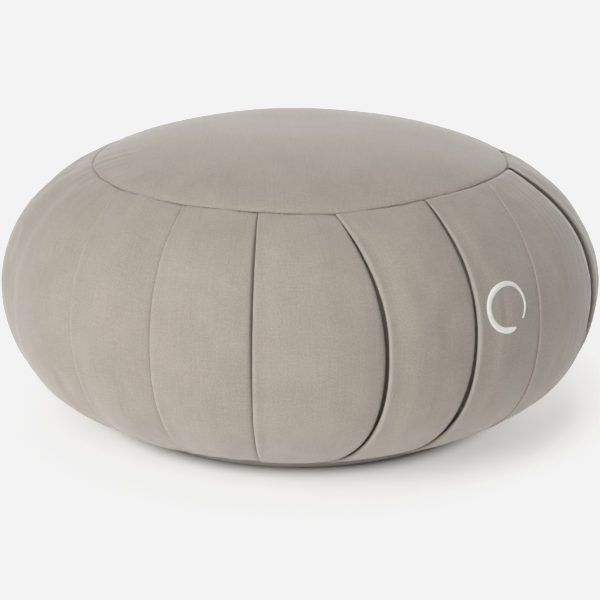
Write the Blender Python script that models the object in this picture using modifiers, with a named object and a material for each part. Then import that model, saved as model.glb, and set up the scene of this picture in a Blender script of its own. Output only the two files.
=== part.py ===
"""Zafu meditation cushion: a round, firmly filled cover of woven cotton.

Three pieces of cloth are sewn together: a long strip laid in knife pleats that makes the
side, and a round panel at the top and at the foot. The side band holds the filling, so it
is one solid with a step and a slit at each fold. Each panel is a thin sheet on it.

Metres, +Z up. The origin is the middle of the footprint, at floor level. Angles go round
the cushion from -Y, which is its front, and grow towards +X.
"""

import math
from collections import namedtuple

import bmesh
import bpy
from mathutils import Vector

OBJECT_NAME = "zafu_cushion"

# The outline, from the top seam out to the widest level and in again to the foot seam.
WIDEST_RADIUS = 0.2000
WIDEST_HEIGHT = 0.0896
TOP_SEAM_RADIUS = 0.1385
TOP_SEAM_HEIGHT = 0.1705
FOOT_SEAM_RADIUS = 0.1330
FOOT_SEAM_HEIGHT = 0.0081
# Each half of it is one cubic curve. It leaves a seam at this slope below or above level,
# it is upright where it is widest, and the reaches are the lengths of its handles.
TOP_SLOPE = math.radians(25.0)
TOP_REACH = 0.0304
UPPER_REACH = 0.0458
LOWER_REACH = 0.0459
FOOT_SLOPE = math.radians(16.0)
FOOT_REACH = 0.0362

# The top panel rises over the filling, and the foot panel is flat out to REST_RADIUS.
CROWN_RISE = 0.0216
CROWN_POWER = 3.1
REST_RADIUS = 0.1230
FOOT_TURN_POWER = 1.4

CLOTH_THICKNESS = 0.0020
PIECE_GAP = 0.00035
SEAM_GAP = 0.0007
MERGE_DISTANCE = 0.00001
SHARP_ANGLE = math.radians(50.0)
# The share of an outline over which its slope is taken.
SLOPE_STEP = 0.001

# One row for each fold: its angle in degrees at the top seam, at the widest level and at
# the foot seam, how much deeper than the common one its slit is, and how much the top seam
# rises there. The side at larger angles always lies on top. The seventh is the placket.
Fold = namedtuple("Fold", "top widest foot depth lift")
FOLDS = (
    Fold(top=-53.9, widest=-43.8, foot=-46.0, depth=0.7, lift=0.0),
    Fold(top=-30.6, widest=-26.0, foot=-26.8, depth=0.8, lift=0.0),
    Fold(top=-10.3, widest=-7.8, foot=-9.6, depth=1.0, lift=0.0),
    Fold(top=8.9, widest=15.3, foot=7.0, depth=1.2, lift=-0.0012),
    Fold(top=33.2, widest=32.1, foot=26.5, depth=1.2, lift=0.0026),
    Fold(top=56.7, widest=46.8, foot=49.5, depth=0.7, lift=0.0036),
    Fold(top=80.0, widest=75.2, foot=69.0, depth=1.3, lift=0.0010),
    Fold(top=101.5, widest=94.5, foot=91.0, depth=1.0, lift=0.0005),
    Fold(top=124.5, widest=118.0, foot=117.0, depth=0.9, lift=-0.0010),
    Fold(top=147.5, widest=143.5, foot=142.0, depth=1.1, lift=0.0008),
    Fold(top=170.5, widest=168.0, foot=167.0, depth=1.0, lift=0.0),
    Fold(top=193.0, widest=193.0, foot=192.5, depth=1.1, lift=0.0012),
    Fold(top=216.0, widest=217.5, foot=217.0, depth=0.9, lift=-0.0008),
    Fold(top=238.5, widest=242.5, foot=242.5, depth=1.0, lift=0.0006),
    Fold(top=261.0, widest=267.0, foot=267.5, depth=1.1, lift=0.0),
    Fold(top=283.5, widest=291.5, foot=292.0, depth=0.8, lift=0.0006),
)

# The section across one fold at the widest level: how far along the band from the fold's
# line, towards the upper layer, and how far in from the outline.
Bend = namedtuple("Bend", "along sink")
FOLD_SECTION = (
    Bend(along=-0.0100, sink=0.0026),
    Bend(along=-0.0024, sink=0.0048),
    Bend(along=0.0070, sink=0.0090),
    Bend(along=0.0012, sink=0.0044),
    Bend(along=0.0000, sink=0.0026),
    Bend(along=0.0040, sink=0.0012),
)
# Points between two folds: the share of the way across, and how far in.
Puff = namedtuple("Puff", "share sink")
PANEL_SECTION = (Puff(share=0.36, sink=0.0002), Puff(share=0.64, sink=0.0003))

# Folds close towards the seams, down to this share of the section above.
CLOSED_SHARE = 0.22
CLOSING_POWER = 0.8

# Levels of the band: 0 is the top seam, 1 the widest level and 2 the foot seam.
BAND_LEVELS = (0.0, 0.05, 0.13, 0.25, 0.39, 0.54, 0.7, 0.85, 1.0, 1.15, 1.3, 1.46, 1.62, 1.77, 1.9, 2.0)
# The seam's rise fades over the band by LIFT_FADE, and over the crown by LIFT_POWER.
LIFT_FADE = 1.5
LIFT_POWER = 4.0
# Radii of the rows of the two round panels, as shares of their seam's radius.
CROWN_SHARES = (0.0, 0.4, 0.68, 0.88, 1.0)
FOOT_SHARES = (1.0, 0.94, 0.88, 0.0)
PANEL_COLUMNS = 64
EDGE_TURN = 0.0016
EDGE_DROP = 0.0008

COTTON_TOP = (0.402, 0.358, 0.314)
COTTON_SIDE = (0.418, 0.372, 0.326)
COTTON_FOOT = (0.322, 0.283, 0.246)
COTTON_ROUGHNESS = 0.92


def polar(radius, angle, height):
    return Vector((radius * math.sin(angle), -radius * math.cos(angle), height))


def through_three(first, middle, last, level):
    """The smooth value at a level from 0 to 2 that takes these values at 0, 1 and 2."""
    bend = (first - 2.0 * middle + last) / 2.0
    slope = (last - first) / 2.0
    step = level - 1.0
    return middle + slope * step + bend * step * step


def cubic(start, first, second, end, share):
    """A point of a cubic curve between start and end, with two handle points."""
    left = 1.0 - share
    weights = (left**3, 3.0 * left**2 * share, 3.0 * left * share**2, share**3)
    points = (start, first, second, end)
    return sum((point * weight for point, weight in zip(points, weights)), Vector((0.0, 0.0)))


def band_outline(level):
    """Radius and height of the band's outline."""
    widest = Vector((WIDEST_RADIUS, WIDEST_HEIGHT))
    if level <= 1.0:
        seam = Vector((TOP_SEAM_RADIUS, TOP_SEAM_HEIGHT))
        leaving = Vector((math.cos(TOP_SLOPE), -math.sin(TOP_SLOPE))) * TOP_REACH
        return cubic(seam, seam + leaving, widest + Vector((0.0, UPPER_REACH)), widest, level)
    seam = Vector((FOOT_SEAM_RADIUS, FOOT_SEAM_HEIGHT))
    arriving = Vector((math.cos(FOOT_SLOPE), math.sin(FOOT_SLOPE))) * FOOT_REACH
    return cubic(widest, widest - Vector((0.0, LOWER_REACH)), seam + arriving, seam, level - 1.0)


def crown_outline(share):
    """Radius and height of the top panel's outer face."""
    return share * TOP_SEAM_RADIUS, TOP_SEAM_HEIGHT + CROWN_RISE * (1.0 - share**CROWN_POWER)


def foot_outline(share):
    """Radius and height of the foot panel's outer face, flat where it rests."""
    radius = share * FOOT_SEAM_RADIUS
    turned = max(radius - REST_RADIUS, 0.0) / (FOOT_SEAM_RADIUS - REST_RADIUS)
    return radius, FOOT_SEAM_HEIGHT * turned**FOOT_TURN_POWER


def outward(outline, place, lowest, highest):
    """The outline's unit normal there, as its parts along the radius and up."""
    step = SLOPE_STEP
    before = outline(max(place - step, lowest))
    after = outline(min(place + step, highest))
    across = after[0] - before[0]
    up = after[1] - before[1]
    length = math.hypot(across, up)
    return (-up / length, across / length)


def sunk(outline, place, lowest, highest, sink, facing):
    """Radius and height of a point of the outline, moved in by sink along its normal."""
    radius, height = outline(place)
    normal = outward(outline, place, lowest, highest)
    return radius - facing * sink * normal[0], height - facing * sink * normal[1]


def fold_angle(fold, level):
    return math.radians(through_three(fold.top, fold.widest, fold.foot, level))


def openness(level):
    """The share of the full fold section that is open at this level."""
    arch = max(math.sin(level * math.pi / 2.0), 0.0) ** CLOSING_POWER
    return CLOSED_SHARE + (1.0 - CLOSED_SHARE) * arch


def fold_columns(index, level):
    """Angle and sink of the columns from one fold to the next, at one level."""
    fold = FOLDS[index]
    following = FOLDS[(index + 1) % len(FOLDS)]
    whole_turn = 2.0 * math.pi if index == len(FOLDS) - 1 else 0.0
    line = fold_angle(fold, level)
    next_line = fold_angle(following, level) + whole_turn
    radius = band_outline(level)[0]
    share = openness(level)
    columns = []
    for bend in FOLD_SECTION:
        angle = line + bend.along * share / radius
        columns.append((angle, bend.sink * share * fold.depth))
    for puff in PANEL_SECTION:
        columns.append((line + puff.share * (next_line - line), puff.sink * share))
    return columns


def seam_lift(angle):
    """How far the top seam rises at this angle: straight from one fold to the next."""
    lines = [math.radians(fold.top) for fold in FOLDS]
    turn = 2.0 * math.pi
    place = lines[0] + (angle - lines[0]) % turn
    for index, line in enumerate(lines):
        after = lines[index + 1] if index + 1 < len(lines) else lines[0] + turn
        if place <= after:
            share = (place - line) / (after - line)
            following = FOLDS[(index + 1) % len(FOLDS)]
            return FOLDS[index].lift + share * (following.lift - FOLDS[index].lift)
    return FOLDS[0].lift


def ring_columns(level):
    """Angle and sink of every column round the band at one level, with the first again."""
    columns = [column for index in range(len(FOLDS)) for column in fold_columns(index, level)]
    first_angle, first_sink = columns[0]
    return columns + [(first_angle + 2.0 * math.pi, first_sink)]


def crown_row(share):
    """A row of the body just under the top panel: the cloth and the gap lie over it."""
    edge_room = EDGE_DROP if share == 1.0 else 0.0
    inset = CLOTH_THICKNESS + PIECE_GAP + edge_room
    radius, height = sunk(crown_outline, share, 0.0, 1.0, inset, 1.0)
    rise = share**LIFT_POWER
    top = BAND_LEVELS[0]
    return [polar(radius, angle, height + rise * seam_lift(angle)) for angle, _ in ring_columns(top)]


def foot_row(share):
    """A row of the body just over the foot panel."""
    radius, height = sunk(foot_outline, share, 0.0, 1.0, CLOTH_THICKNESS + PIECE_GAP, -1.0)
    return [polar(radius, angle, height) for angle, _ in ring_columns(BAND_LEVELS[-1])]


def band_row(level):
    """A row of the band, with a step and a slit at each fold."""
    rise = max(1.0 - level, 0.0) ** LIFT_FADE
    row = []
    for angle, sink in ring_columns(level):
        radius, height = sunk(band_outline, level, 0.0, 2.0, sink, 1.0)
        row.append(polar(radius, angle, height + rise * seam_lift(angle)))
    return row


def grid_surface(name, rows):
    """A mesh whose grid of points takes the places in these rows, merged where they meet."""
    columns = len(rows[0]) - 1
    model = bmesh.new()
    bmesh.ops.create_grid(model, x_segments=columns, y_segments=len(rows) - 1, size=1.0)
    for vertex in model.verts:
        column = round((vertex.co.x + 1.0) / 2.0 * columns)
        row = round((vertex.co.y + 1.0) / 2.0 * (len(rows) - 1))
        vertex.co = rows[row][column]
    bmesh.ops.remove_doubles(model, verts=model.verts, dist=MERGE_DISTANCE)
    bmesh.ops.dissolve_degenerate(model, edges=model.edges, dist=MERGE_DISTANCE)
    bmesh.ops.recalc_face_normals(model, faces=model.faces)
    mesh = bpy.data.meshes.new(name)
    model.to_mesh(mesh)
    model.free()
    return mesh


def cotton(name, colour):
    material = bpy.data.materials.new(name)
    material.use_nodes = True
    shader = material.node_tree.nodes["Principled BSDF"]
    shader.inputs["Base Color"].default_value = (*colour, 1.0)
    shader.inputs["Roughness"].default_value = COTTON_ROUGHNESS
    shader.inputs["Metallic"].default_value = 0.0
    return material


def add_piece(name, mesh, material, collection):
    mesh.materials.append(material)
    mesh.shade_smooth()
    mesh.set_sharp_from_angle(angle=SHARP_ANGLE)
    piece = bpy.data.objects.new(name, mesh)
    collection.objects.link(piece)
    return piece


def side_band(collection):
    """The pleated side with the filling that it holds, as one closed body."""
    rows = [crown_row(share) for share in CROWN_SHARES]
    rows += [band_row(level) for level in BAND_LEVELS]
    rows += [foot_row(share) for share in FOOT_SHARES]
    mesh = grid_surface("side_band", rows)
    return add_piece("side_band", mesh, cotton("cotton_side", COTTON_SIDE), collection)


def round_panel(name, rows, material, collection):
    """A sheet of cloth through these rows of points, thickened inwards."""
    piece = add_piece(name, grid_surface(name, rows), material, collection)
    thickness = piece.modifiers.new("cloth", "SOLIDIFY")
    thickness.thickness = CLOTH_THICKNESS
    thickness.offset = -1.0
    thickness.use_even_offset = True
    return piece


def face_out(piece, direction):
    """Turns the open sheet so that its faces look towards direction."""
    normal = sum((face.normal * face.area for face in piece.data.polygons), Vector())
    if normal.dot(direction) < 0.0:
        piece.data.flip_normals()


def panel_angles():
    return [2.0 * math.pi * column / PANEL_COLUMNS for column in range(PANEL_COLUMNS + 1)]


def top_panel(collection):
    rim = TOP_SEAM_RADIUS - SEAM_GAP
    shares = [*CROWN_SHARES[:-1], (rim - EDGE_TURN) / TOP_SEAM_RADIUS]
    profile = [crown_outline(share) for share in shares]
    profile.append((rim, TOP_SEAM_HEIGHT - EDGE_DROP))
    rows = []
    for radius, height in profile:
        rise = (radius / TOP_SEAM_RADIUS) ** LIFT_POWER
        rows.append([polar(radius, angle, height + rise * seam_lift(angle)) for angle in panel_angles()])
    piece = round_panel("top_panel", rows, cotton("cotton_top", COTTON_TOP), collection)
    face_out(piece, Vector((0.0, 0.0, 1.0)))


def foot_panel(collection):
    rim = (FOOT_SEAM_RADIUS - SEAM_GAP) / FOOT_SEAM_RADIUS
    shares = [rim, (1.0 + rim + FOOT_SHARES[1]) / 3.0, *FOOT_SHARES[1:]]
    profile = [foot_outline(share) for share in shares]
    rows = [[polar(radius, angle, height) for angle in panel_angles()] for radius, height in profile]
    piece = round_panel("bottom_panel", rows, cotton("cotton_foot", COTTON_FOOT), collection)
    face_out(piece, Vector((0.0, 0.0, -1.0)))


def main():
    for leftover in list(bpy.data.objects):
        bpy.data.objects.remove(leftover, do_unlink=True)
    collection = bpy.data.collections.new(OBJECT_NAME)
    bpy.context.scene.collection.children.link(collection)
    side_band(collection)
    top_panel(collection)
    foot_panel(collection)


main()
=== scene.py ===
"""Zafu meditation cushion: the finished cover, sewn, filled, embroidered and lit.

A pleated side band is sewn between two round panels and filled firm with loose hulls.
Metres, +Z up, with the origin at floor level under the middle. Angles go round the
cushion from -Y, its front, and grow towards +X. A level says how far down the band a
point lies: 0 is the top seam, 1 the widest line and 2 the foot seam.
"""

import math
from collections import namedtuple
from functools import partial

import bmesh
import bpy
from bpy.props import FloatProperty, FloatVectorProperty, IntProperty, PointerProperty
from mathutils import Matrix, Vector, noise
from mathutils.bvhtree import BVHTree


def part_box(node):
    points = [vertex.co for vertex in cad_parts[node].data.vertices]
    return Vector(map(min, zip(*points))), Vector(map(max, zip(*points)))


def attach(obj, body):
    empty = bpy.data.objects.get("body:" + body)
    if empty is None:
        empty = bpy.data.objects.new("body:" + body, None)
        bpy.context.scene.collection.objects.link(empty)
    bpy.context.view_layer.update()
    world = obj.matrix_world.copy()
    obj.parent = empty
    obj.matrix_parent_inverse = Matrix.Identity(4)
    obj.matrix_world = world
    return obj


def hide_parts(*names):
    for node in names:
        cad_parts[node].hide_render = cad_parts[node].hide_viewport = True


bl_info = {
    "name": "Zafu meditation cushion",
    "version": (1, 0, 0),
    "blender": (4, 5, 0),
    "location": "3D View > Sidebar > Cushion",
    "description": "Builds a pleated, filled floor cushion of woven cotton round its packed frame",
    "category": "Add Mesh",
}

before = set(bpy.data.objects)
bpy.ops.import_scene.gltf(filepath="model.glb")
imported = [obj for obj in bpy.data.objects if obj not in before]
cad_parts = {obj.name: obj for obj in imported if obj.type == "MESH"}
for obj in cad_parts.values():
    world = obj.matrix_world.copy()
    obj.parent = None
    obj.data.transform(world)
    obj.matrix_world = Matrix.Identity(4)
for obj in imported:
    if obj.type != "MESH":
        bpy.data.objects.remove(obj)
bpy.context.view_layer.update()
BAND_LOW, BAND_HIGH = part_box("side_band")
TOP_LOW, TOP_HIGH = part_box("top_panel")
BASE_LOW, BASE_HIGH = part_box("bottom_panel")

BODY = "root"
TURN = 2.0 * math.pi
MERGE_DISTANCE = 0.00001
UV_NAME = "cloth"
# How much painted highlight each point along a fold's edge takes, as a paler colour.
PAINTED_HIGHLIGHT_NAME = "painted_edge_highlight"
SEAM_NAME = "near_seam"
FREE_NAME = "free"
LEVEL_NAME = "level"

# The outline. Its overall sizes are the frame's, and its slopes and handles shape it.
SEAM_GAP = 0.0007
WIDEST_RADIUS = (BAND_HIGH.y - BAND_LOW.y) / 2.0 + 0.0003
WIDEST_HEIGHT = 0.0896
TOP_SEAM_RADIUS = (TOP_HIGH.x - TOP_LOW.x) / 2.0 + SEAM_GAP
CROWN_RISE = 0.0216
CROWN_POWER = 3.1
TOP_SEAM_HEIGHT = TOP_HIGH.z - CROWN_RISE
FOOT_SEAM_RADIUS = (BASE_HIGH.x - BASE_LOW.x) / 2.0 + SEAM_GAP
FOOT_SEAM_HEIGHT = 0.0081
REST_RADIUS = 0.1230
FOOT_TURN_POWER = 1.4
TOP_SLOPE = math.radians(25.0)
TOP_REACH = 0.0304
UPPER_REACH = 0.0458
LOWER_REACH = 0.0459
FOOT_SLOPE = math.radians(16.0)
FOOT_REACH = 0.0362

# One row for each fold: its angle in degrees at the top seam, at the widest line and at
# the foot seam, how deep its step is, how far its slit stands open, and how much the top
# seam rises there.
Fold = namedtuple("Fold", "top widest foot depth mouth lift")
FOLDS = (
    Fold(top=-53.9, widest=-43.8, foot=-46.0, depth=0.90, mouth=0.10, lift=0.0),
    Fold(top=-30.6, widest=-26.0, foot=-26.8, depth=1.20, mouth=0.30, lift=0.0),
    Fold(top=-10.3, widest=-7.8, foot=-9.6, depth=1.00, mouth=0.45, lift=0.0),
    Fold(top=8.9, widest=15.3, foot=7.0, depth=1.20, mouth=0.80, lift=-0.0012),
    Fold(top=33.2, widest=32.1, foot=26.5, depth=1.00, mouth=0.35, lift=0.0026),
    Fold(top=56.7, widest=46.8, foot=49.5, depth=1.00, mouth=0.00, lift=0.0036),
    Fold(top=80.0, widest=75.2, foot=69.0, depth=1.20, mouth=0.50, lift=0.0010),
    Fold(top=101.5, widest=94.5, foot=91.0, depth=1.00, mouth=0.45, lift=0.0005),
    Fold(top=124.5, widest=118.0, foot=117.0, depth=0.90, mouth=0.35, lift=-0.0010),
    Fold(top=147.5, widest=143.5, foot=142.0, depth=1.05, mouth=0.70, lift=0.0008),
    Fold(top=170.5, widest=168.0, foot=167.0, depth=1.00, mouth=0.40, lift=0.0),
    Fold(top=193.0, widest=193.0, foot=192.5, depth=1.05, mouth=0.75, lift=0.0012),
    Fold(top=216.0, widest=217.5, foot=217.0, depth=0.90, mouth=0.30, lift=-0.0008),
    Fold(top=238.5, widest=242.5, foot=242.5, depth=1.00, mouth=0.50, lift=0.0006),
    Fold(top=261.0, widest=267.0, foot=267.5, depth=1.05, mouth=0.40, lift=0.0),
    Fold(top=283.5, widest=291.5, foot=292.0, depth=0.80, mouth=0.15, lift=0.0006),
)
# The folds that aren't plain pleats, counted from 0, and the one before the pulled cloth.
PRESSED = 5
PLACKET = 6
PULLED = 15
# How fast the seam's rise fades down the band, and in over the top panel.
LIFT_FADE = 1.5
LIFT_POWER = 4.0

# The section across a fold at the widest line, from the lower layer round the root of the
# fold to the upper layer. along is the way along the band from the fold's line and sink is
# how far in from the outline. Where a slit stands open, gape draws the lower layer back and
# groove sinks it. free is how freely the filling may push the cloth, and the last is how
# much painted highlight the fold's edge takes, as a paler colour. What a row leaves out is 0.
Bend = namedtuple("Bend", "along sink gape groove free wear", defaults=(0.0, 0.0, 0.0, 0.0))
FOLD_SECTION = (
    Bend(along=-0.0240, sink=0.00085, free=0.90),
    Bend(along=-0.0160, sink=0.00150, free=0.70),
    Bend(along=-0.0100, sink=0.00200, free=0.45),
    Bend(along=-0.0060, sink=0.00240, free=0.20),
    Bend(along=-0.0032, sink=0.00285, gape=0.0001, groove=0.0001),
    Bend(along=-0.0018, sink=0.00350, gape=0.0002, groove=0.0004, wear=0.1),
    Bend(along=-0.0009, sink=0.00440, gape=0.0003, groove=0.0022),
    Bend(along=-0.0003, sink=0.00500, gape=0.0002, groove=0.0066),
    Bend(along=0.0040, sink=0.00570, groove=0.0072),
    Bend(along=0.0100, sink=0.00700, groove=0.0060),
    Bend(along=0.0060, sink=0.00450),
    Bend(along=0.0020, sink=0.00390),
    Bend(along=0.0000, sink=0.00330, wear=0.1),
    Bend(along=-0.0005, sink=0.00250, wear=0.5),
    Bend(along=-0.0006, sink=0.00160, wear=1.0),
    Bend(along=-0.0003, sink=0.00080, wear=1.0),
    Bend(along=0.0007, sink=0.00025, wear=0.7),
    Bend(along=0.0022, sink=0.00030, wear=0.2),
    Bend(along=0.0046, sink=0.00070, free=0.15),
    Bend(along=0.0085, sink=0.00065, free=0.40),
    Bend(along=0.0140, sink=0.00035, free=0.80),
)
# A pleat that is pressed flat: its edge stands up as a thin ridge.
PRESSED_SECTION = (
    Bend(along=-0.0240, sink=0.00010, free=0.90),
    Bend(along=-0.0120, sink=0.00030, free=0.60),
    Bend(along=-0.0060, sink=0.00050, free=0.20),
    Bend(along=-0.0024, sink=0.00055),
    Bend(along=-0.0010, sink=0.00060),
    Bend(along=-0.0003, sink=0.00090),
    Bend(along=0.0002, sink=0.00140),
    Bend(along=0.0000, sink=0.00080, wear=0.8),
    Bend(along=-0.0001, sink=0.00020, wear=1.0),
    Bend(along=0.0004, sink=-0.00030, wear=1.0),
    Bend(along=0.0013, sink=-0.00020, wear=0.6),
    Bend(along=0.0024, sink=0.00040),
    Bend(along=0.0048, sink=0.00055, free=0.15),
    Bend(along=0.0090, sink=0.00035, free=0.40),
    Bend(along=0.0140, sink=0.00015, free=0.80),
)
# The placket is where the strip's two hemmed ends meet: the upper end stands off the lower
# one and its opening shows.
PLACKET_SECTION = (
    Bend(along=-0.0240, sink=0.00060, free=0.80),
    Bend(along=-0.0160, sink=0.00130, free=0.50),
    Bend(along=-0.0100, sink=0.00220, free=0.20),
    Bend(along=-0.0060, sink=0.00300),
    Bend(along=-0.0034, sink=0.00270, wear=0.8),
    Bend(along=-0.0022, sink=0.00380, groove=0.0002, wear=0.2),
    Bend(along=-0.0004, sink=0.00520, groove=0.0010),
    Bend(along=0.0040, sink=0.00600, groove=0.0014),
    Bend(along=0.0100, sink=0.00700, groove=0.0014),
    Bend(along=0.0150, sink=0.00800, groove=0.0010),
    Bend(along=0.0100, sink=0.00420),
    Bend(along=0.0050, sink=0.00290),
    Bend(along=0.0020, sink=0.00250),
    Bend(along=0.0006, sink=0.00200, wear=0.6),
    Bend(along=0.0000, sink=0.00130, wear=1.0),
    Bend(along=0.0004, sink=0.00055, wear=1.0),
    Bend(along=0.0016, sink=0.00010, wear=0.5),
    Bend(along=0.0045, sink=0.00010, free=0.15),
    Bend(along=0.0090, sink=0.00040, free=0.40),
    Bend(along=0.0150, sink=0.00030, free=0.80),
)
SECTIONS = {PRESSED: PRESSED_SECTION, PLACKET: PLACKET_SECTION}
# Columns between one fold's section and the next: more where the cloth is creased.
PANEL_COLUMNS = 4
CREASED_COLUMNS = {PRESSED: 14, PULLED: 10}
# The cloth that each pleat takes from the strip, with its hidden folds.
CUT_WIDTH = 0.113
# A fold is this much open at a seam, and opens towards the widest line by these powers.
CLOSED_SHARE = 0.26
TOP_CLOSING = 0.60
FOOT_CLOSING = 0.85

# Stitches in a whole seam, about 3 mm each, and the share of each that shows. A thread's
# radius and how high it arches over the cloth, in the seams and in satin stitch.
SEAM_STITCHES = 290
STITCH_SHOWS = 0.74
SEAM_THREAD = 0.00022
SEAM_ARCH = 0.0001
SATIN_THREAD = 0.00028
SATIN_ARCH = 0.00055
# The ring's stroke starts here, runs clockwise this far, and its stitches slant a little.
RING_START = math.radians(-75.0)
RING_TURN = math.radians(322.0)
SATIN_SLANT = math.radians(4.0)

# Rows of the band: each row near a seam as its level and how far it is turned in, the
# count of even rows between them, and the hidden rows behind the two round panels.
SEAM_TURN = ((0.0, 0.0015), (0.009, 0.0006), (0.024, 0.00015), (0.050, 0.0))
EVEN_ROWS = 46
CROWN_ROWS = (0.0, 0.5, 0.88, 0.97)
FOOT_ROWS = (0.97, 0.86, 0.0)
UNDER_PANEL = 0.0042

# One row for each round soft light, 1.6 m wide and 2.4 m away: its angle round the cushion
# and its height in degrees, and its power in watts.
Lamp = namedtuple("Lamp", "name angle height watts")
LAMPS = (
    Lamp(name="key_light", angle=-45.0, height=22.0, watts=17.5),
    Lamp(name="front_light", angle=-25.0, height=40.0, watts=28.5),
    Lamp(name="right_light", angle=135.0, height=25.0, watts=12.0),
    Lamp(name="back_light", angle=180.0, height=14.0, watts=32.0),
    Lamp(name="top_light", angle=0.0, height=85.0, watts=22.0),
)
LAMP_WIDTH = 1.6
LAMP_DISTANCE = 2.4
MIDDLE = Vector((0.0, 0.0, 0.09))
# Brightness in, brightness out: the lit floor stays a little below pure white.
SHOULDER = ((0.0, 0.0), (0.78, 0.78), (0.95, 0.875), (1.1, 0.896), (2.0, 0.896))

# The camera stands 1.2 m from the middle of the cushion, a little above it.
CAMERA_PLACE = (0.0, -1.1488, 0.4368)
CAMERA_TARGET = (0.0, 0.0, 0.0715)

# Gathers and soft dents, one row each: how far they stand out, how long they are, how fast
# they change and how far they slant down the band, whether they keep to the seams, and the
# seed of their noise.
Dent = namedtuple("Dent", "height wave run slant seams seed")
DENTS = (
    Dent(height=0.00038, wave=0.0100, run=1.2, slant=0.05, seams=True, seed=3.1),
    Dent(height=0.00020, wave=0.0045, run=2.0, slant=0.0, seams=True, seed=7.7),
    Dent(height=0.00075, wave=0.0500, run=1.8, slant=0.0, seams=False, seed=11.3),
    Dent(height=0.00032, wave=0.0190, run=3.4, slant=0.0, seams=False, seed=19.9),
    Dent(height=0.00012, wave=0.0075, run=9.0, slant=0.0, seams=False, seed=27.1),
)
# The slanting creases beside the placket: how many, and how far they stand out.
CREASES = 12.0
CREASE_HEIGHT = 0.00018

# The cloth simulation: the frames that the filling settles for, and the ease in the cloth.
SETTLE_FRAMES = 18
EASE = 0.008

# The lit floor: its half width, the distances from the middle between which its glow fades in round
# the cushion's foot as a painted contact shadow, and how its outer part is lit more strongly, for an even
# backdrop.
FLOOR_REACH = 8.0
PAINTED_FOOT_SHADOW = (0.121, 0.142)
BACKDROP = (1.3, 3.2)
BACKDROP_GLOW = 0.9

# The round panels: their cut radius with the seam allowance, their rings of faces, which
# crowd towards the rim, and where the rim starts to roll in and how far.
PANEL_RINGS = 38
RIM_SHARE = 0.995
RIM_CROWDING = 0.6
ROLL_START = 0.962
SEAM_ROLL = 0.0013


def linear(text):
    """A hex sRGB colour as linear red, green and blue."""
    values = [int(text[place : place + 2], 16) / 255.0 for place in (1, 3, 5)]
    return tuple(v / 12.92 if v <= 0.04045 else ((v + 0.055) / 1.055) ** 2.4 for v in values)


class CushionSettings(bpy.types.PropertyGroup):
    """Sizes and colours of the cover."""

    cloth: FloatProperty(
        name="Cloth thickness",
        description="Thickness of the round panels",
        default=0.0013,
        unit="LENGTH",
    )
    fold_depth: FloatProperty(
        name="Fold depth",
        description="Depth of the pleats as a share of the usual one",
        default=1.0,
    )
    pressure: FloatProperty(
        name="Filling pressure",
        description="How hard the filling pushes the cloth out",
        default=4.0,
    )
    puff_limit: FloatProperty(
        name="Puff limit",
        description="The most that the filling may move the cloth",
        default=0.004,
        unit="LENGTH",
    )
    thread: FloatProperty(
        name="Thread spacing",
        description="Spacing of the woven threads",
        default=0.0010,
        unit="LENGTH",
    )
    side_colour: FloatVectorProperty(
        name="Side cotton",
        description="Colour of the side band",
        subtype="COLOR",
        default=linear("#a49b91"),
    )
    top_colour: FloatVectorProperty(
        name="Top cotton",
        description="Colour of the top panel",
        subtype="COLOR",
        default=linear("#a49b91"),
    )
    base_colour: FloatVectorProperty(
        name="Base cotton",
        description="Colour of the base panel",
        subtype="COLOR",
        default=linear("#a49b91"),
    )


class MotifSettings(bpy.types.PropertyGroup):
    """Place, sizes and colour of the embroidered ring."""

    angle: FloatProperty(
        name="Angle",
        description="Where it sits round the cushion",
        subtype="ANGLE",
        default=math.radians(39.2),
    )
    level: FloatProperty(
        name="Level",
        description="How far down the band it sits",
        default=0.79,
    )
    radius: FloatProperty(
        name="Ring radius",
        description="From the centre to the middle of the stroke",
        default=0.0142,
        unit="LENGTH",
    )
    stroke: FloatProperty(
        name="Stroke",
        description="Widest part of the stroke",
        default=0.0042,
        unit="LENGTH",
    )
    stitches: IntProperty(
        name="Stitches",
        description="Stitches round the ring",
        default=230,
    )
    colour: FloatVectorProperty(
        name="Thread",
        description="Colour of the satin stitch",
        subtype="COLOR",
        default=linear("#f1efec"),
    )


class StageSettings(bpy.types.PropertyGroup):
    """Light, floor and camera."""

    power: FloatProperty(
        name="Light",
        description="Strength of all the lights, as a share of the usual",
        default=1.0,
    )
    room: FloatProperty(
        name="Room light",
        description="Strength of the light from all round",
        default=0.0,
    )
    glow: FloatProperty(
        name="Floor glow",
        description="Light that comes up through the floor",
        default=0.37,
    )
    floor_colour: FloatVectorProperty(
        name="Floor",
        description="Colour of the floor",
        subtype="COLOR",
        default=linear("#f3f3f3"),
    )
    lens: FloatProperty(
        name="Lens",
        description="Focal length in millimetres",
        default=105.7,
    )


# ---------------------------------------------------------------- outlines


def polar(radius, angle, height):
    return Vector((radius * math.sin(angle), -radius * math.cos(angle), height))


def through_three(first, middle, last, level):
    """The smooth value at a level from 0 to 2 that takes these values at 0, 1 and 2."""
    bend = (first - 2.0 * middle + last) / 2.0
    slope = (last - first) / 2.0
    step = level - 1.0
    return middle + slope * step + bend * step * step


def smooth(low, high, value):
    share = min(max((value - low) / (high - low), 0.0), 1.0)
    return share * share * (3.0 - 2.0 * share)


def cubic(start, first, second, end, share):
    left = 1.0 - share
    weights = (left**3, 3.0 * left**2 * share, 3.0 * left * share**2, share**3)
    points = (start, first, second, end)
    return sum((point * weight for point, weight in zip(points, weights)), Vector((0.0, 0.0)))


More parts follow.
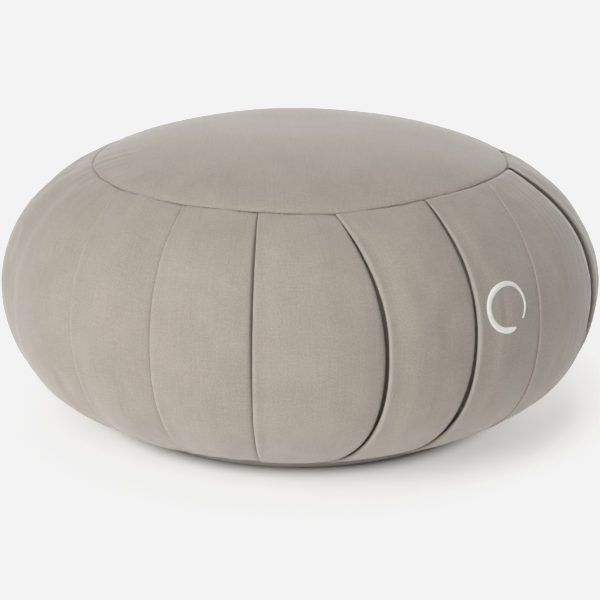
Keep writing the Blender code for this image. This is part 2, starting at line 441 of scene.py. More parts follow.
def band_outline(level):
    """Radius and height of the band's outline."""
    widest = Vector((WIDEST_RADIUS, WIDEST_HEIGHT))
    if level <= 1.0:
        seam = Vector((TOP_SEAM_RADIUS, TOP_SEAM_HEIGHT))
        leaving = Vector((math.cos(TOP_SLOPE), -math.sin(TOP_SLOPE))) * TOP_REACH
        return cubic(seam, seam + leaving, widest + Vector((0.0, UPPER_REACH)), widest, level)
    seam = Vector((FOOT_SEAM_RADIUS, FOOT_SEAM_HEIGHT))
    arriving = Vector((math.cos(FOOT_SLOPE), math.sin(FOOT_SLOPE))) * FOOT_REACH
    return cubic(widest, widest - Vector((0.0, LOWER_REACH)), seam + arriving, seam, level - 1.0)


def crown_outline(share):
    """Radius and height of the top panel's face."""
    return Vector((share * TOP_SEAM_RADIUS, TOP_SEAM_HEIGHT + CROWN_RISE * (1.0 - share**CROWN_POWER)))


def foot_outline(share):
    """Radius and height of the base panel's face, flat where it rests."""
    radius = share * FOOT_SEAM_RADIUS
    turned = max(radius - REST_RADIUS, 0.0) / (FOOT_SEAM_RADIUS - REST_RADIUS)
    return Vector((radius, FOOT_SEAM_HEIGHT * turned**FOOT_TURN_POWER))


def inward(outline, place, lowest, highest):
    """The outline's unit normal there that points to the right of its run."""
    step = 0.001
    run = outline(min(place + step, highest)) - outline(max(place - step, lowest))
    return Vector((run.y, -run.x)).normalized()


def fold_angle(index, level):
    """The angle of a fold's line, with whole turns added so that it grows with the index."""
    fold = FOLDS[index % len(FOLDS)]
    degrees = through_three(fold.top, fold.widest, fold.foot, level)
    return math.radians(degrees) + TURN * (index // len(FOLDS))


def seam_lift(angle):
    """How far the top seam rises at this angle: straight from one fold to the next."""
    lines = [fold_angle(index, 0.0) for index in range(len(FOLDS) + 1)]
    place = lines[0] + (angle - lines[0]) % TURN
    for index in range(len(FOLDS)):
        if place <= lines[index + 1]:
            share = (place - lines[index]) / (lines[index + 1] - lines[index])
            after = FOLDS[(index + 1) % len(FOLDS)].lift
            return FOLDS[index].lift + share * (after - FOLDS[index].lift)
    return FOLDS[0].lift


# ---------------------------------------------------------------- cloth on the band


Spot = namedtuple("Spot", "angle sink free wear across")
Row = namedtuple("Row", "spots down near_seam level")


def openness(level):
    """The share of the full fold section that is open at this level."""
    power = TOP_CLOSING if level < 1.0 else FOOT_CLOSING
    arch = max(math.sin(level * math.pi / 2.0), 0.0) ** power
    return CLOSED_SHARE + (1.0 - CLOSED_SHARE) * arch


def fold_spots(index, level, fold_depth):
    """The columns from one fold to the next at one level."""
    fold = FOLDS[index]
    radius = band_outline(level).x
    line, next_line = fold_angle(index, level), fold_angle(index + 1, level)
    middle = (line + next_line) / 2.0
    before = (fold_angle(index - 1, level) + line) / 2.0
    share = openness(level)
    section = SECTIONS.get(index, FOLD_SECTION)
    root = max(range(len(section)), key=lambda place: section[place].sink)
    spots = []
    for place, bend in enumerate(section):
        angle = line + (bend.along - bend.gape * fold.mouth) * share / radius
        sink = (bend.sink + bend.groove * fold.mouth) * fold.depth * share * fold_depth
        centre = before if place <= root else middle
        strip = index - 1 if place <= root else index
        across = strip * CUT_WIDTH + (angle - centre) * radius
        spots.append(Spot(angle, sink, bend.free, bend.wear, across))
    following = SECTIONS.get((index + 1) % len(FOLDS), FOLD_SECTION)
    first = line + section[-1].along * share / radius
    last = next_line + following[0].along * share / radius
    columns = CREASED_COLUMNS.get(index, PANEL_COLUMNS)
    for column in range(1, columns + 1):
        angle = first + (last - first) * column / (columns + 1)
        spots.append(Spot(angle, 0.0, 1.0, 0.0, index * CUT_WIDTH + (angle - middle) * radius))
    return spots


def ring_spots(level, fold_depth):
    """All columns at one level, and the first one again a whole turn on."""
    spots = [spot for index in range(len(FOLDS)) for spot in fold_spots(index, level, fold_depth)]
    first = spots[0]
    return spots + [first._replace(angle=first.angle + TURN, across=first.across + len(FOLDS) * CUT_WIDTH)]


def band_levels():
    """Every row of the band as its level and how far it is turned in at a seam."""
    turned = list(SEAM_TURN)
    start = turned[-1][0]
    step = (2.0 - 2.0 * start) / EVEN_ROWS
    even = [(start + step * row, 0.0) for row in range(1, EVEN_ROWS)]
    return turned + even + [(2.0 - level, turn) for level, turn in reversed(turned)]


def band_row(level, turn, fold_depth):
    """Points of one row of the band, with what each point carries."""
    outline = band_outline(level)
    normal = inward(band_outline, level, 0.0, 2.0)
    rise = max(1.0 - level, 0.0) ** LIFT_FADE
    row = []
    for spot in ring_spots(level, fold_depth):
        place = outline + normal * (spot.sink + turn)
        point = polar(place.x, spot.angle, place.y + rise * seam_lift(spot.angle))
        row.append((point, spot))
    return row


def hidden_row(place, lift, level, fold_depth):
    """A row behind a round panel, held still."""
    row = []
    for spot in ring_spots(level, fold_depth):
        point = polar(place.x, spot.angle, place.y + lift * seam_lift(spot.angle))
        row.append((point, spot._replace(free=0.0, wear=0.0)))
    return row


def band_rows(fold_depth):
    """All rows from the middle of the crown, down the band, to the middle of the base.
    Hidden rows have a level past the band's ends, so they take no wrinkles.
    """
    rows = []
    for share in CROWN_ROWS:
        place = crown_outline(share) - Vector((0.0, UNDER_PANEL))
        spots = hidden_row(place, share**LIFT_POWER, 0.0, fold_depth)
        rows.append(Row(spots, down=-0.02, near_seam=0.0, level=-1.0))
    down, last = 0.0, band_outline(0.0)
    for level, turn in band_levels():
        outline = band_outline(level)
        down += (outline - last).length
        last = outline
        held = smooth(0.04, 0.22, level) * smooth(0.12, 0.60, 2.0 - level)
        spots = band_row(level, turn, fold_depth)
        spots = [(point, spot._replace(free=spot.free * held)) for point, spot in spots]
        near_seam = 1.0 - smooth(0.0, 0.06, min(level, 2.0 - level))
        rows.append(Row(spots, down=down, near_seam=near_seam, level=level))
    for share in FOOT_ROWS:
        place = foot_outline(share) + Vector((0.0, UNDER_PANEL))
        spots = hidden_row(place, 0.0, 2.0, fold_depth)
        rows.append(Row(spots, down=down + 0.02, near_seam=0.0, level=3.0))
    return rows


def band_mesh(name, rows):
    """A grid of cloth bent through the rows of points and sewn where they meet."""
    columns = len(rows[0].spots) - 1
    model = bmesh.new()
    bmesh.ops.create_grid(model, x_segments=columns, y_segments=len(rows) - 1, size=1.0)
    uv = model.loops.layers.uv.new(UV_NAME)
    layers = {}
    for layer in (PAINTED_HIGHLIGHT_NAME, SEAM_NAME, FREE_NAME, LEVEL_NAME):
        layers[layer] = model.verts.layers.float.new(layer)
    places = {}
    for vertex in model.verts:
        column = round((vertex.co.x + 1.0) / 2.0 * columns)
        number = round((vertex.co.y + 1.0) / 2.0 * (len(rows) - 1))
        places[vertex] = (column, rows[number])
    for face in model.faces:
        for loop in face.loops:
            column, row = places[loop.vert]
            loop[uv].uv = (row.spots[column][1].across, row.down)
    for vertex, (column, row) in places.items():
        point, spot = row.spots[column]
        vertex.co = point
        vertex[layers[PAINTED_HIGHLIGHT_NAME]] = spot.wear
        vertex[layers[SEAM_NAME]] = row.near_seam
        vertex[layers[FREE_NAME]] = spot.free
        vertex[layers[LEVEL_NAME]] = row.level
    bmesh.ops.remove_doubles(model, verts=model.verts, dist=MERGE_DISTANCE)
    bmesh.ops.recalc_face_normals(model, faces=model.faces)
    mesh = bpy.data.meshes.new(name)
    model.to_mesh(mesh)
    model.free()
    return mesh


def add_piece(name, mesh, material):
    """A piece of the cushion in the scene, moving with the cushion."""
    mesh.shade_smooth()
    mesh.materials.clear()
    mesh.materials.append(material)
    piece = bpy.data.objects.new(name, mesh)
    bpy.context.scene.collection.objects.link(piece)
    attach(piece, BODY)
    return piece


def round_off(piece):
    """Subdivides the cloth once, and makes what its modifiers give the piece's own mesh."""
    finer = piece.modifiers.new("smooth", "SUBSURF")
    finer.levels = 1
    finer.render_levels = 1
    bpy.context.view_layer.update()
    graph = bpy.context.evaluated_depsgraph_get()
    finished = bpy.data.meshes.new_from_object(
        piece.evaluated_get(graph), preserve_all_data_layers=True, depsgraph=graph
    )
    piece.modifiers.clear()
    old = piece.data
    piece.data = finished
    bpy.data.meshes.remove(old)


def fill_with_pressure(piece, pressure, limit):
    """Lets the filling push the cloth out between its sewn lines, by cloth simulation."""
    mesh = piece.data
    sewn = piece.vertex_groups.new(name="sewn")
    for vertex, free in zip(mesh.vertices, mesh.attributes[FREE_NAME].data):
        sewn.add([vertex.index], 1.0 - free.value, "REPLACE")
    before = [vertex.co.copy() for vertex in mesh.vertices]
    cloth = piece.modifiers.new("filling", "CLOTH")
    settings = cloth.settings
    settings.quality = 5
    settings.mass = 0.3
    settings.tension_stiffness = 20.0
    settings.compression_stiffness = 20.0
    settings.shear_stiffness = 8.0
    settings.bending_stiffness = 1.0
    settings.use_pressure = True
    settings.uniform_pressure_force = pressure
    settings.shrink_min = -EASE
    settings.effector_weights.gravity = 0.0
    settings.vertex_group_mass = sewn.name
    cloth.point_cache.frame_start = 1
    cloth.point_cache.frame_end = SETTLE_FRAMES
    scene = bpy.context.scene
    for number in range(1, SETTLE_FRAMES + 1):
        scene.frame_set(number)
    graph = bpy.context.evaluated_depsgraph_get()
    settled = [vertex.co.copy() for vertex in piece.evaluated_get(graph).data.vertices]
    piece.modifiers.remove(cloth)
    piece.vertex_groups.remove(sewn)
    scene.frame_set(1)
    for vertex, start, end in zip(mesh.vertices, before, settled):
        move = end - start
        if move.length > limit:
            move *= limit / move.length
        vertex.co = start + move
    mesh.update()


def bump_at(angle, wave, down, seed):
    """Soft bumps of this length round the widest line, running in towards the seams."""
    return noise.noise(polar(WIDEST_RADIUS / wave, angle, down + seed))


def signed(angle):
    """The same angle between half a turn back and half a turn on."""
    return (angle + math.pi) % TURN - math.pi


def arc(low, high, angle):
    """Rises from 0 to 1 between two angles in degrees."""
    return smooth(math.radians(low), math.radians(high), signed(angle))


def wrinkle(angle, level):
    """How far the cloth stands out here: gathers at the seams, pulls and soft dents."""
    top = 1.0 - smooth(0.0, 0.30, level)
    foot = 1.0 - smooth(0.0, 0.35, 2.0 - level)
    out = 0.0
    for dent in DENTS:
        height = dent.height * (top + foot) if dent.seams else dent.height
        out += height * bump_at(angle + dent.slant * level, dent.wave, level * dent.run, dent.seed)
    gathered = (1.0 - arc(-66.0, -40.0, angle)) * (1.0 - smooth(0.0, 0.9, level))
    out += 0.00045 * gathered * bump_at(angle + 0.12 * level, 0.0085, level * 2.0, 23.0)
    start, end = fold_angle(PLACKET - 1, level), fold_angle(PLACKET, level)
    share = (signed(angle) - start) / (end - start)
    if 0.0 < share < 1.0:
        pull = smooth(0.12, 0.40, share) * smooth(0.0, 0.1, 1.0 - share)
        pull *= smooth(0.02, 0.2, level) * (1.0 - smooth(0.9, 1.7, level))
        line = share * CREASES + 0.6 * bump_at(angle, 0.05, level * 2.0, 5.0)
        uneven = 0.7 + bump_at(angle, 0.03, level * 1.5, 31.0)
        out += pull * CREASE_HEIGHT * math.sin(TURN * line) * uneven
    return out


def add_wrinkles(mesh):
    """Moves the finished cloth by its wrinkles, along its own normals."""
    normals = [vertex.normal.copy() for vertex in mesh.vertices]
    levels = [item.value for item in mesh.attributes[LEVEL_NAME].data]
    for vertex, normal, level in zip(mesh.vertices, normals, levels):
        if 0.0 <= level <= 2.0:
            angle = math.atan2(vertex.co.x, -vertex.co.y)
            vertex.co += normal * wrinkle(angle, level)
    for name in (FREE_NAME, LEVEL_NAME):
        mesh.attributes.remove(mesh.attributes[name])
    mesh.update()


# ---------------------------------------------------------------- round panels


def ring_and_angle(across, along):
    """Turns a square grid, from -1 to 1, into even rings: the ring's share and its angle."""
    ring = max(abs(across), abs(along))
    if ring == 0.0:
        return 0.0, 0.0
    if abs(across) >= abs(along):
        angle = math.pi / 4.0 * along / across + (math.pi if across < 0.0 else 0.0)
    else:
        angle = math.pi / 2.0 - math.pi / 4.0 * across / along + (math.pi if along < 0.0 else 0.0)
    return ring, angle


def panel_mesh(name, outline, facing, shape):
    """A disc of cloth bent to the outline, its rim rolled in at the seam."""
    model = bmesh.new()
    bmesh.ops.create_grid(model, x_segments=2 * PANEL_RINGS, y_segments=2 * PANEL_RINGS, size=1.0)
    uv = model.loops.layers.uv.new(UV_NAME)
    seam = model.verts.layers.float.new(SEAM_NAME)
    for vertex in model.verts:
        ring, angle = ring_and_angle(vertex.co.x, vertex.co.y)
        share = RIM_SHARE * ring * (1.0 + RIM_CROWDING * (1.0 - ring))
        place = outline(share)
        turned = max(share - ROLL_START, 0.0) / (RIM_SHARE - ROLL_START)
        height = place.y - facing * SEAM_ROLL * turned**2 + shape(share, angle)
        vertex.co = polar(place.x, angle, height)
        vertex[seam] = smooth(0.955, RIM_SHARE, share)
    for face in model.faces:
        for loop in face.loops:
            loop[uv].uv = loop.vert.co.xy
    bmesh.ops.recalc_face_normals(model, faces=model.faces)
    if sum(face.normal.z for face in model.faces) * facing < 0.0:
        bmesh.ops.reverse_faces(model, faces=model.faces)
    mesh = bpy.data.meshes.new(name)
    model.to_mesh(mesh)
    model.free()
    return mesh


def top_shape(share, angle):
    """Rise of the seam, soft dents and the small gathers that end at the seam."""
    place = polar(share * TOP_SEAM_RADIUS, angle, 0.0)
    rise = share**LIFT_POWER * seam_lift(angle)
    soft = Vector((place.x / 0.060, place.y / 0.060, 2.0))
    rise += 0.0009 * noise.noise(soft) * (1.0 - share**6)
    rise += 0.00025 * smooth(0.80, 0.985, share) * bump_at(angle, 0.0095, share * 4.0, 4.0)
    gathered = (1.0 - arc(-60.0, -32.0, angle)) * arc(-125.0, -85.0, angle)
    rise += 0.00075 * gathered * smooth(0.72, 0.95, share) * bump_at(angle + 0.5 * share, 0.0090, 0.0, 9.0)
    return rise


def flat_shape(share, angle):
    return 0.0


def thicken(piece, thickness):
    """Gives a sheet its thickness, inwards from its face."""
    solid = piece.modifiers.new("cloth", "SOLIDIFY")
    solid.thickness = thickness
    solid.offset = -1.0
    round_off(piece)


# ---------------------------------------------------------------- materials


def add_node(tree, kind, inputs=None, **settings):
    """Adds a node: inputs gives each socket a value, or another node's socket to link."""
    made = tree.nodes.new(kind)
    for name, value in settings.items():
        setattr(made, name, value)
    for socket, value in (inputs or {}).items():
        if isinstance(value, bpy.types.NodeSocket):
            tree.links.new(value, made.inputs[socket])
        else:
            made.inputs[socket].default_value = value
    return made


def woven_cotton(name, colour, thread):
    """Plain-woven cotton canvas, washed and not pressed: matt, with a soft fuzz that
    lightens at a glancing angle, a fine checked grain, and slubs where a yarn is thicker.
    """
    material = bpy.data.materials.new(name)
    material.use_nodes = True
    tree = material.node_tree
    add = partial(add_node, tree)
    shader = tree.nodes["Principled BSDF"]
    uv = add("ShaderNodeUVMap", uv_map=UV_NAME).outputs["UV"]

    # Each yarn wanders a little, by up to half of the thread spacing.
    wander = add(
        "ShaderNodeTexNoise", {"Vector": uv, "Scale": 1.0 / 0.006, "Detail": 1.0}, noise_dimensions="2D"
    )
    shift = add(
        "ShaderNodeVectorMath", {0: wander.outputs["Color"], 1: (thread * 1.2,) * 3}, operation="MULTIPLY"
    )
    wandered = add("ShaderNodeVectorMath", {0: uv, 1: shift.outputs[0]}, operation="ADD")
    # The spacing is drawn wider than the real 0.5 mm, which would be too fine to show.
    turns = add(
        "ShaderNodeVectorMath",
        {0: wandered.outputs[0], 1: (math.pi / thread, math.pi / thread, 0.0)},
        operation="MULTIPLY",
    )
    waves = add("ShaderNodeVectorMath", {0: turns.outputs[0]}, operation="SINE")
    split = add("ShaderNodeSeparateXYZ", {0: waves.outputs[0]})
    weave = add("ShaderNodeMath", {0: split.outputs["X"], 1: split.outputs["Y"]}, operation="MULTIPLY")

    # Slubs: stretches of yarn about 1 mm thick, up to 22 mm long down the cloth and 10 mm
    # across it.
    streaks = []
    for wide, long_ in ((0.0012, 0.022), (0.010, 0.0010)):
        scaled = add(
            "ShaderNodeVectorMath", {0: uv, 1: (1.0 / wide, 1.0 / long_, 0.0)}, operation="MULTIPLY"
        )
        streaks.append(
            add(
                "ShaderNodeTexNoise",
                {"Vector": scaled.outputs[0], "Scale": 1.0, "Detail": 2.0, "Roughness": 0.6},
                noise_dimensions="2D",
            )
        )
    slub = add("ShaderNodeMath", {0: streaks[0].outputs[0], 1: streaks[1].outputs[0]}, operation="ADD")
    # Dye takes unevenly over patches 25 to 40 mm wide.
    patch = add(
        "ShaderNodeTexNoise",
        {"Vector": uv, "Scale": 1.0 / 0.032, "Detail": 3.0, "Roughness": 0.55},
        noise_dimensions="2D",
    )
    blend = add(
        "ShaderNodeMath", {0: slub.outputs[0], 1: 0.80, 2: patch.outputs[0]}, operation="MULTIPLY_ADD"
    )
    # Short fibres stand up between the yarns, as a speckle. It is drawn at 1.1 mm, wider
    # than the real 0.3 mm, which would be too fine to show.
    fibres = add(
        "ShaderNodeTexNoise",
        {"Vector": uv, "Scale": 1.0 / 0.0011, "Detail": 2.0, "Roughness": 0.7},
        noise_dimensions="2D",
    )
    woven = add(
        "ShaderNodeMath", {0: weave.outputs[0], 1: 0.025, 2: blend.outputs[0]}, operation="MULTIPLY_ADD"
    )
    grain = add(
        "ShaderNodeMath", {0: fibres.outputs[0], 1: 2.40, 2: woven.outputs[0]}, operation="MULTIPLY_ADD"
    )
    tone = add(
        "ShaderNodeMapRange",
        {"Value": grain.outputs[0], "From Min": 1.80, "From Max": 3.20, "To Min": 0.0, "To Max": 1.0},
    )
    dark = tuple(value * 0.86 for value in colour) + (1.0,)
    light = tuple(min(value * 1.12, 1.0) for value in colour) + (1.0,)
    dyed = add("ShaderNodeMix", {"Factor": tone.outputs[0], 6: dark, 7: light}, data_type="RGBA")
    # Fold edges are mixed a little paler: a painted highlight along each fold's crisp edge.
    wear = add("ShaderNodeAttribute", attribute_name=PAINTED_HIGHLIGHT_NAME)
    highlight_share = add("ShaderNodeMath", {0: wear.outputs["Fac"], 1: 0.35}, operation="MULTIPLY")
    pale = tuple(min(value * 1.30, 1.0) for value in colour) + (1.0,)
    highlighted = add(
        "ShaderNodeMix", {"Factor": highlight_share.outputs[0], 6: dyed.outputs[2], 7: pale}, data_type="RGBA"
    )
    tree.links.new(highlighted.outputs[2], shader.inputs["Base Color"])

    # Close to a seam each stitch, 3 mm long, pulls the cloth into a dimple.
    seam = add("ShaderNodeAttribute", attribute_name=SEAM_NAME)
    place = add("ShaderNodeTexCoord").outputs["Object"]
    point = add("ShaderNodeSeparateXYZ", {0: place})
    angle = add("ShaderNodeMath", {0: point.outputs["X"], 1: point.outputs["Y"]}, operation="ARCTAN2")
    stitch_turns = add(
        "ShaderNodeMath", {0: angle.outputs[0], 1: float(SEAM_STITCHES)}, operation="MULTIPLY"
    )
    stitch = add("ShaderNodeMath", {0: stitch_turns.outputs[0]}, operation="SINE")
    dimple = add("ShaderNodeMath", {0: stitch.outputs[0], 1: seam.outputs["Fac"]}, operation="MULTIPLY")
    threads = add(
        "ShaderNodeMath", {0: weave.outputs[0], 1: 0.28, 2: fibres.outputs[0]}, operation="MULTIPLY_ADD"
    )
    height = add(
        "ShaderNodeMath", {0: slub.outputs[0], 1: 0.40, 2: threads.outputs[0]}, operation="MULTIPLY_ADD"
    )
    relief = add(
        "ShaderNodeMath", {0: dimple.outputs[0], 1: 0.5, 2: height.outputs[0]}, operation="MULTIPLY_ADD"
    )
    bump = add("ShaderNodeBump", {"Height": relief.outputs[0], "Strength": 0.45, "Distance": 0.00022})
    tree.links.new(bump.outputs[0], shader.inputs["Normal"])
    shader.inputs["Roughness"].default_value = 0.9
    shader.inputs["IOR"].default_value = 1.46
    shader.inputs["Specular IOR Level"].default_value = 0.22
    shader.inputs["Sheen Weight"].default_value = 0.40
    shader.inputs["Sheen Roughness"].default_value = 0.45
    return material


def twisted_thread(name, colour, roughness):
    """Two-ply sewing thread: cotton is dull and slightly hairy, and rayon for embroidery
    is smooth and has a soft gloss.
    """
    material = bpy.data.materials.new(name)
    material.use_nodes = True
    tree = material.node_tree
    add = partial(add_node, tree)
    shader = tree.nodes["Principled BSDF"]
    place = add("ShaderNodeTexCoord").outputs["Object"]
    # The twist repeats every 0.8 mm, drawn as fine light and dark flecks.
    fleck = add("ShaderNodeTexNoise", {"Vector": place, "Scale": 1.0 / 0.0008, "Detail": 2.0})
    shade = tuple(value * 0.86 for value in colour) + (1.0,)
    tint = add(
        "ShaderNodeMix",
        {"Factor": fleck.outputs[0], 6: shade, 7: tuple(colour) + (1.0,)},
        data_type="RGBA",
    )
    tree.links.new(tint.outputs[2], shader.inputs["Base Color"])
    bump = add("ShaderNodeBump", {"Height": fleck.outputs[0], "Strength": 0.3, "Distance": 0.0001})
    tree.links.new(bump.outputs[0], shader.inputs["Normal"])
    shader.inputs["Roughness"].default_value = roughness
    shader.inputs["Sheen Weight"].default_value = 0.15
    return material


def lit_floor(name, colour, glow):
    """Opal acrylic sheet, as cast, lit from below: white, matt and even, so that the
    shadows on it stay pale.
    """
    material = bpy.data.materials.new(name)
    material.use_nodes = True
    tree = material.node_tree
    add = partial(add_node, tree)
    shader = tree.nodes["Principled BSDF"]
    place = add("ShaderNodeTexCoord").outputs["Object"]
    # The sanded face has a grain of about 2 mm, very shallow.
    grain = add("ShaderNodeTexNoise", {"Vector": place, "Scale": 1.0 / 0.002})
    bump = add("ShaderNodeBump", {"Height": grain.outputs[0], "Strength": 0.05, "Distance": 0.0001})
    tree.links.new(bump.outputs[0], shader.inputs["Normal"])
    shader.inputs["Base Color"].default_value = tuple(colour) + (1.0,)
    shader.inputs["Roughness"].default_value = 0.95
    shader.inputs["Specular IOR Level"].default_value = 0.1
    shader.inputs["Emission Color"].default_value = (1.0, 1.0, 1.0, 1.0)
    # The glow is cut off round the cushion's foot and fades back in further out: a painted contact shadow
    # on the floor.
    away = add("ShaderNodeVectorMath", {0: place}, operation="LENGTH")
    glows = []
    for (near, far), most in ((PAINTED_FOOT_SHADOW, glow), (BACKDROP, BACKDROP_GLOW)):
        ramp = {"Value": away.outputs["Value"], "From Min": near, "From Max": far, "To Max": most}
        glows.append(add("ShaderNodeMapRange", ramp, interpolation_type="SMOOTHSTEP"))
    lit = add("ShaderNodeMath", {0: glows[0].outputs[0], 1: glows[1].outputs[0]}, operation="ADD")
    tree.links.new(lit.outputs[0], shader.inputs["Emission Strength"])
    return material


# ---------------------------------------------------------------- stitches


class Stitches:
    """Stitches of one thread, gathered into one mesh."""

    def __init__(self, name):
        self.mesh = bpy.data.meshes.new(name)
        self.model = bmesh.new()

    def lay(self, start, end, out, radius, arch):
        """One stitch: up through the cloth, over it in a low arch and down again."""
        run = end - start
        across = run.cross(out).normalized()
        one = bmesh.new()
        bmesh.ops.create_uvsphere(one, u_segments=6, v_segments=8, radius=1.0)
        for vertex in one.verts:
            share = (vertex.co.z + 1.0) / 2.0
            rounded = max(1.0 - vertex.co.z**2, 0.0) ** 0.5
            fuller = rounded**-0.5 if rounded > 0.01 else 0.0
            rise = arch * (1.0 - (2.0 * share - 1.0) ** 2) - radius
            side = across * vertex.co.x + out * vertex.co.y
            vertex.co = start + run * share + out * rise + side * radius * fuller
        # across, out and run are a left-handed set, so the sphere was laid inside out.
        bmesh.ops.reverse_faces(one, faces=one.faces)
        one.to_mesh(self.mesh)
        one.free()
        self.model.from_mesh(self.mesh)

    def finish(self):
        self.model.to_mesh(self.mesh)
        self.model.free()
        return self.mesh


def seam_stitches(name, radius, height, lift):
    """A row of short stitches down in the crease of a seam."""
    stitches = Stitches(name)
    step = TURN / SEAM_STITCHES
    for number in range(SEAM_STITCHES):
        first, last = step * number, step * (number + STITCH_SHOWS)
        start = polar(radius, first, height + lift * seam_lift(first))
        end = polar(radius, last, height + lift * seam_lift(last))
        out = polar(1.0, (first + last) / 2.0, 0.0)
        stitches.lay(start, end, out, SEAM_THREAD, SEAM_ARCH)
    return stitches.finish()


def brush_stroke(share, stroke):
    """Width of the ring's stroke, from its full start to its thin end."""
    start = smooth(-0.06, 0.07, share)
    taper = 1.0 - 0.62 * smooth(0.45, 1.0, share)
    return stroke * start * taper


# ---------------------------------------------------------------- operators


class CUSHION_OT_side_band(bpy.types.Operator):
    """Pleats the side band, fills it and sews its edges under"""

    bl_idname = "cushion.side_band"
    bl_label = "Side band"

    def execute(self, context):
        settings = context.scene.cushion
        mesh = band_mesh("side_band_cloth", band_rows(settings.fold_depth))
        material = woven_cotton("side_cotton", settings.side_colour, settings.thread)
        piece = add_piece("side_band_cloth", mesh, material)
        fill_with_pressure(piece, settings.pressure, settings.puff_limit)
        round_off(piece)
        add_wrinkles(piece.data)
        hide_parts("side_band")
        return {"FINISHED"}


class CUSHION_OT_top_panel(bpy.types.Operator):
    """Cuts the round top panel and stretches it over the crown"""

    bl_idname = "cushion.top_panel"
    bl_label = "Top panel"

    def execute(self, context):
        settings = context.scene.cushion
        mesh = panel_mesh("top_panel_cloth", crown_outline, 1.0, top_shape)
        material = woven_cotton("top_cotton", settings.top_colour, settings.thread)
        piece = add_piece("top_panel_cloth", mesh, material)
        thicken(piece, settings.cloth)
        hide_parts("top_panel")
        return {"FINISHED"}


class CUSHION_OT_bottom_panel(bpy.types.Operator):
    """Cuts the round base panel, flat where the cushion rests"""

    bl_idname = "cushion.bottom_panel"
    bl_label = "Bottom panel"

    def execute(self, context):
        settings = context.scene.cushion
        mesh = panel_mesh("bottom_panel_cloth", foot_outline, -1.0, flat_shape)
        material = woven_cotton("base_cotton", settings.base_colour, settings.thread)
        piece = add_piece("bottom_panel_cloth", mesh, material)
        thicken(piece, settings.cloth)
        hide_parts("bottom_panel")
        return {"FINISHED"}


class CUSHION_OT_seams(bpy.types.Operator):
    """Sews the round panels to the side band"""

    bl_idname = "cushion.seams"
    bl_label = "Seam stitches"

    def execute(self, context):
        settings = context.scene.cushion
        thread = twisted_thread("cotton_thread", settings.side_colour, 0.8)
        name = "top_seam_stitches"
        mesh = seam_stitches(name, TOP_SEAM_RADIUS - 0.0003, TOP_SEAM_HEIGHT - 0.0012, 1.0)
        add_piece(name, mesh, thread)
        name = "foot_seam_stitches"
        mesh = seam_stitches(name, FOOT_SEAM_RADIUS - 0.0001, FOOT_SEAM_HEIGHT + 0.0010, 0.0)
        add_piece(name, mesh, thread)
        return {"FINISHED"}


class CUSHION_OT_embroidery(bpy.types.Operator):
    """Works an open ring in satin stitch on the side band"""

    bl_idname = "cushion.embroidery"
    bl_label = "Embroidered ring"

    def execute(self, context):
        motif = context.scene.cushion_motif
        cloth = bpy.data.objects["side_band_cloth"].data
        points = [vertex.co for vertex in cloth.vertices]
        tree = BVHTree.FromPolygons(points, [tuple(face.vertices) for face in cloth.polygons])
        outline = band_outline(motif.level)
        centre = polar(outline.x, motif.angle, outline.y)
        normal = tree.find_nearest(centre)[1]
        right = Vector((0.0, 0.0, 1.0)).cross(normal).normalized()
        up = normal.cross(right)

        def on_cloth(reach, turn):
            place = centre + (right * math.cos(turn) + up * math.sin(turn)) * reach
            hit, out, _, _ = tree.ray_cast(place + normal * 0.03, -normal)
            if hit is None:
                raise RuntimeError("the ring reaches past the side band")
            return hit, out

        stitches = Stitches("ring_embroidery")
        for number in range(motif.stitches):
            share = number / (motif.stitches - 1)
            turn = RING_START - RING_TURN * share
            half = brush_stroke(share, motif.stroke) / 2.0
            reach = motif.radius * (1.0 + 0.04 * math.sin(2.0 * turn + 0.6))
            ragged = 0.00020 * noise.noise(Vector((number * 0.83, 0.0, 41.0)))
            inner, inner_out = on_cloth(reach - half + ragged, turn)
            outer, outer_out = on_cloth(reach + half + ragged, turn + SATIN_SLANT)
            out = (inner_out + outer_out).normalized()
            stitches.lay(inner, outer, out, SATIN_THREAD, SATIN_ARCH)
        thread = twisted_thread("rayon_thread", motif.colour, 0.5)
        add_piece("ring_embroidery", stitches.finish(), thread)
        return {"FINISHED"}


def point_at(thing, place, target):
    """Puts a light or camera in its place, turned to look at the target."""
    thing.location = place
    thing.rotation_euler = (Vector(target) - Vector(place)).to_track_quat("-Z", "Y").to_euler()


def soft_light(row, power):
    lamp = bpy.data.lights.new(row.name, "AREA")
    lamp.shape = "DISK"
    lamp.size = LAMP_WIDTH
    lamp.energy = row.watts * power
    light = bpy.data.objects.new(row.name, lamp)
    bpy.context.scene.collection.objects.link(light)
    height = math.radians(row.height)
    away = polar(math.cos(height), math.radians(row.angle), math.sin(height))
    point_at(light, MIDDLE + away * LAMP_DISTANCE, MIDDLE)
    return light


def soften_whites(scene):
    """Plain colours, with a shoulder that keeps the brightest parts from bleaching out."""
    view = scene.view_settings
    view.view_transform = "Standard"
    view.use_curve_mapping = True
    mapping = view.curve_mapping
    mapping.clip_max_x = SHOULDER[-1][0]
    mapping.clip_max_y = 1.0
    curve = mapping.curves[3]
    curve.points[0].location = SHOULDER[0]
    curve.points[1].location = SHOULDER[-1]
    for place in SHOULDER[1:-1]:
        curve.points.new(*place)
    for point in curve.points:
        point.handle_type = "VECTOR"
    mapping.update()


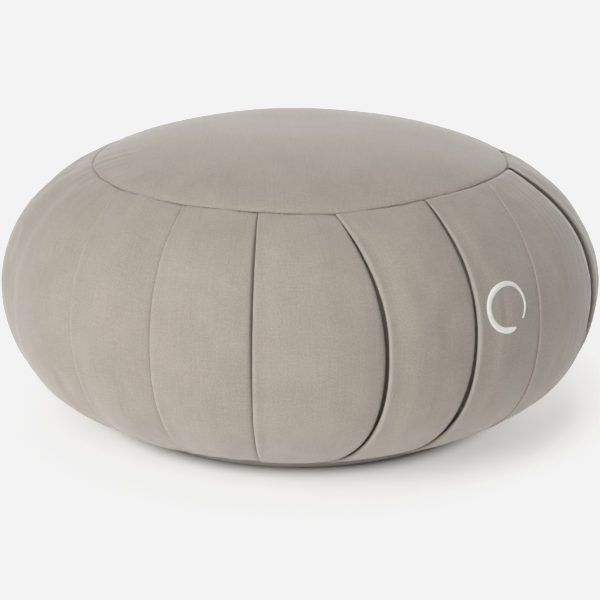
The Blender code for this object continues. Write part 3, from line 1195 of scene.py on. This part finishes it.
class CUSHION_OT_stage(bpy.types.Operator):
    """Sets a pale floor, soft light and the camera"""

    bl_idname = "cushion.stage"
    bl_label = "Floor, light and camera"

    def execute(self, context):
        scene = context.scene
        settings = scene.cushion_stage
        model = bmesh.new()
        bmesh.ops.create_grid(model, x_segments=1, y_segments=1, size=FLOOR_REACH)
        mesh = bpy.data.meshes.new("floor")
        model.to_mesh(mesh)
        model.free()
        mesh.materials.append(lit_floor("opal_acrylic", settings.floor_colour, settings.glow))
        floor = bpy.data.objects.new("floor", mesh)
        scene.collection.objects.link(floor)
        lights = [soft_light(row, settings.power) for row in LAMPS]
        world = bpy.data.worlds.new("room")
        world.use_nodes = True
        background = world.node_tree.nodes["Background"]
        background.inputs["Color"].default_value = (1.0, 1.0, 1.0, 1.0)
        background.inputs["Strength"].default_value = settings.room
        scene.world = world
        camera = bpy.data.objects.new("camera", bpy.data.cameras.new("camera"))
        scene.collection.objects.link(camera)
        camera.data.sensor_width = 36.0
        camera.data.lens = settings.lens
        point_at(camera, CAMERA_PLACE, CAMERA_TARGET)
        scene.camera = camera
        soften_whites(scene)
        return {"FINISHED"}


class CUSHION_PT_panel(bpy.types.Panel):
    """The cushion's sizes and the buttons that build it"""

    bl_idname = "CUSHION_PT_panel"
    bl_label = "Zafu meditation cushion"
    bl_space_type = "VIEW_3D"
    bl_region_type = "UI"
    bl_category = "Cushion"

    def draw(self, context):
        scene = context.scene
        for settings in (scene.cushion, scene.cushion_motif, scene.cushion_stage):
            box = self.layout.box()
            for name in settings.__annotations__:
                box.prop(settings, name)
        for operator in OPERATORS:
            self.layout.operator(operator.bl_idname)


OPERATORS = (
    CUSHION_OT_side_band,
    CUSHION_OT_top_panel,
    CUSHION_OT_bottom_panel,
    CUSHION_OT_seams,
    CUSHION_OT_embroidery,
    CUSHION_OT_stage,
)
CLASSES = (CushionSettings, MotifSettings, StageSettings) + OPERATORS + (CUSHION_PT_panel,)


def register():
    for one in CLASSES:
        bpy.utils.register_class(one)
    bpy.types.Scene.cushion = PointerProperty(type=CushionSettings)
    bpy.types.Scene.cushion_motif = PointerProperty(type=MotifSettings)
    bpy.types.Scene.cushion_stage = PointerProperty(type=StageSettings)


def unregister():
    del bpy.types.Scene.cushion_stage
    del bpy.types.Scene.cushion_motif
    del bpy.types.Scene.cushion
    for one in reversed(CLASSES):
        bpy.utils.unregister_class(one)


def main():
    register()
    bpy.ops.cushion.side_band()
    bpy.ops.cushion.top_panel()
    bpy.ops.cushion.bottom_panel()
    bpy.ops.cushion.seams()
    bpy.ops.cushion.embroidery()
    bpy.ops.cushion.stage()


if __name__ == "__main__":
    main()
